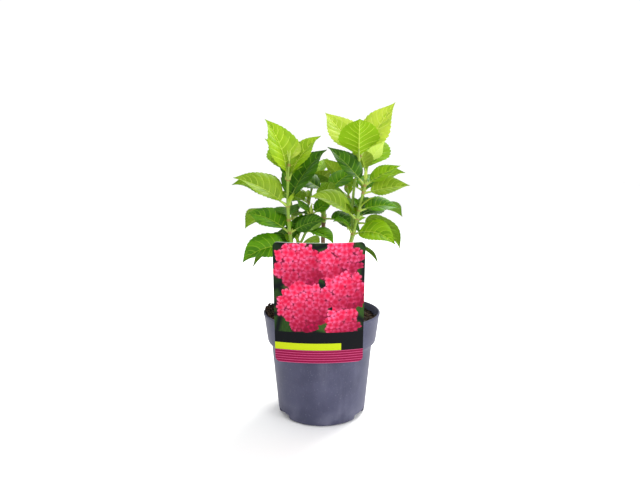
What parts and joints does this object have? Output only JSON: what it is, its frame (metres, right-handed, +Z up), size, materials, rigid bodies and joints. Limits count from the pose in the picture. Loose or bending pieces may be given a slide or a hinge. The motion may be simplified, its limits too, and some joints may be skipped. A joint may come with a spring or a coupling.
{
  "type": "potted hydrangea shrub",
  "caption": "Young leafy broad-leaved shrub in a round nursery pot filled with soil, with a bowed picture label hooked over the pot's rim",
  "frame": {"origin": "centre of the pot's flat underside, where it stands on the ground", "axes": "+Z up along the pot's axis; -Y towards the picture label, which is the front; +X to the right seen from the front"},
  "size_m": [0.2065, 0.1883, 0.3438],
  "materials": {
    "pot": "satin moulded, slate grey",
    "soil": "crumbly dark brown peat",
    "label": "semi-gloss print on a plastic card",
    "woody_stem": "rough brown bark",
    "foliage": "satin green leaves"
  },
  "bodies": {
    "root": {"pot": "pot", "soil": "soil", "label": "label", "main_stem": "woody_stem", "bough_front_left": "woody_stem", "bough_front_right": "woody_stem", "bough_centre": "woody_stem", "bough_back_left": "woody_stem", "bough_back_right": "woody_stem", "foliage_front_left": "foliage", "foliage_front_right": "foliage", "foliage_centre": "foliage", "foliage_back_left": "foliage", "foliage_back_right": "foliage"}
  },
  "joints": []
}
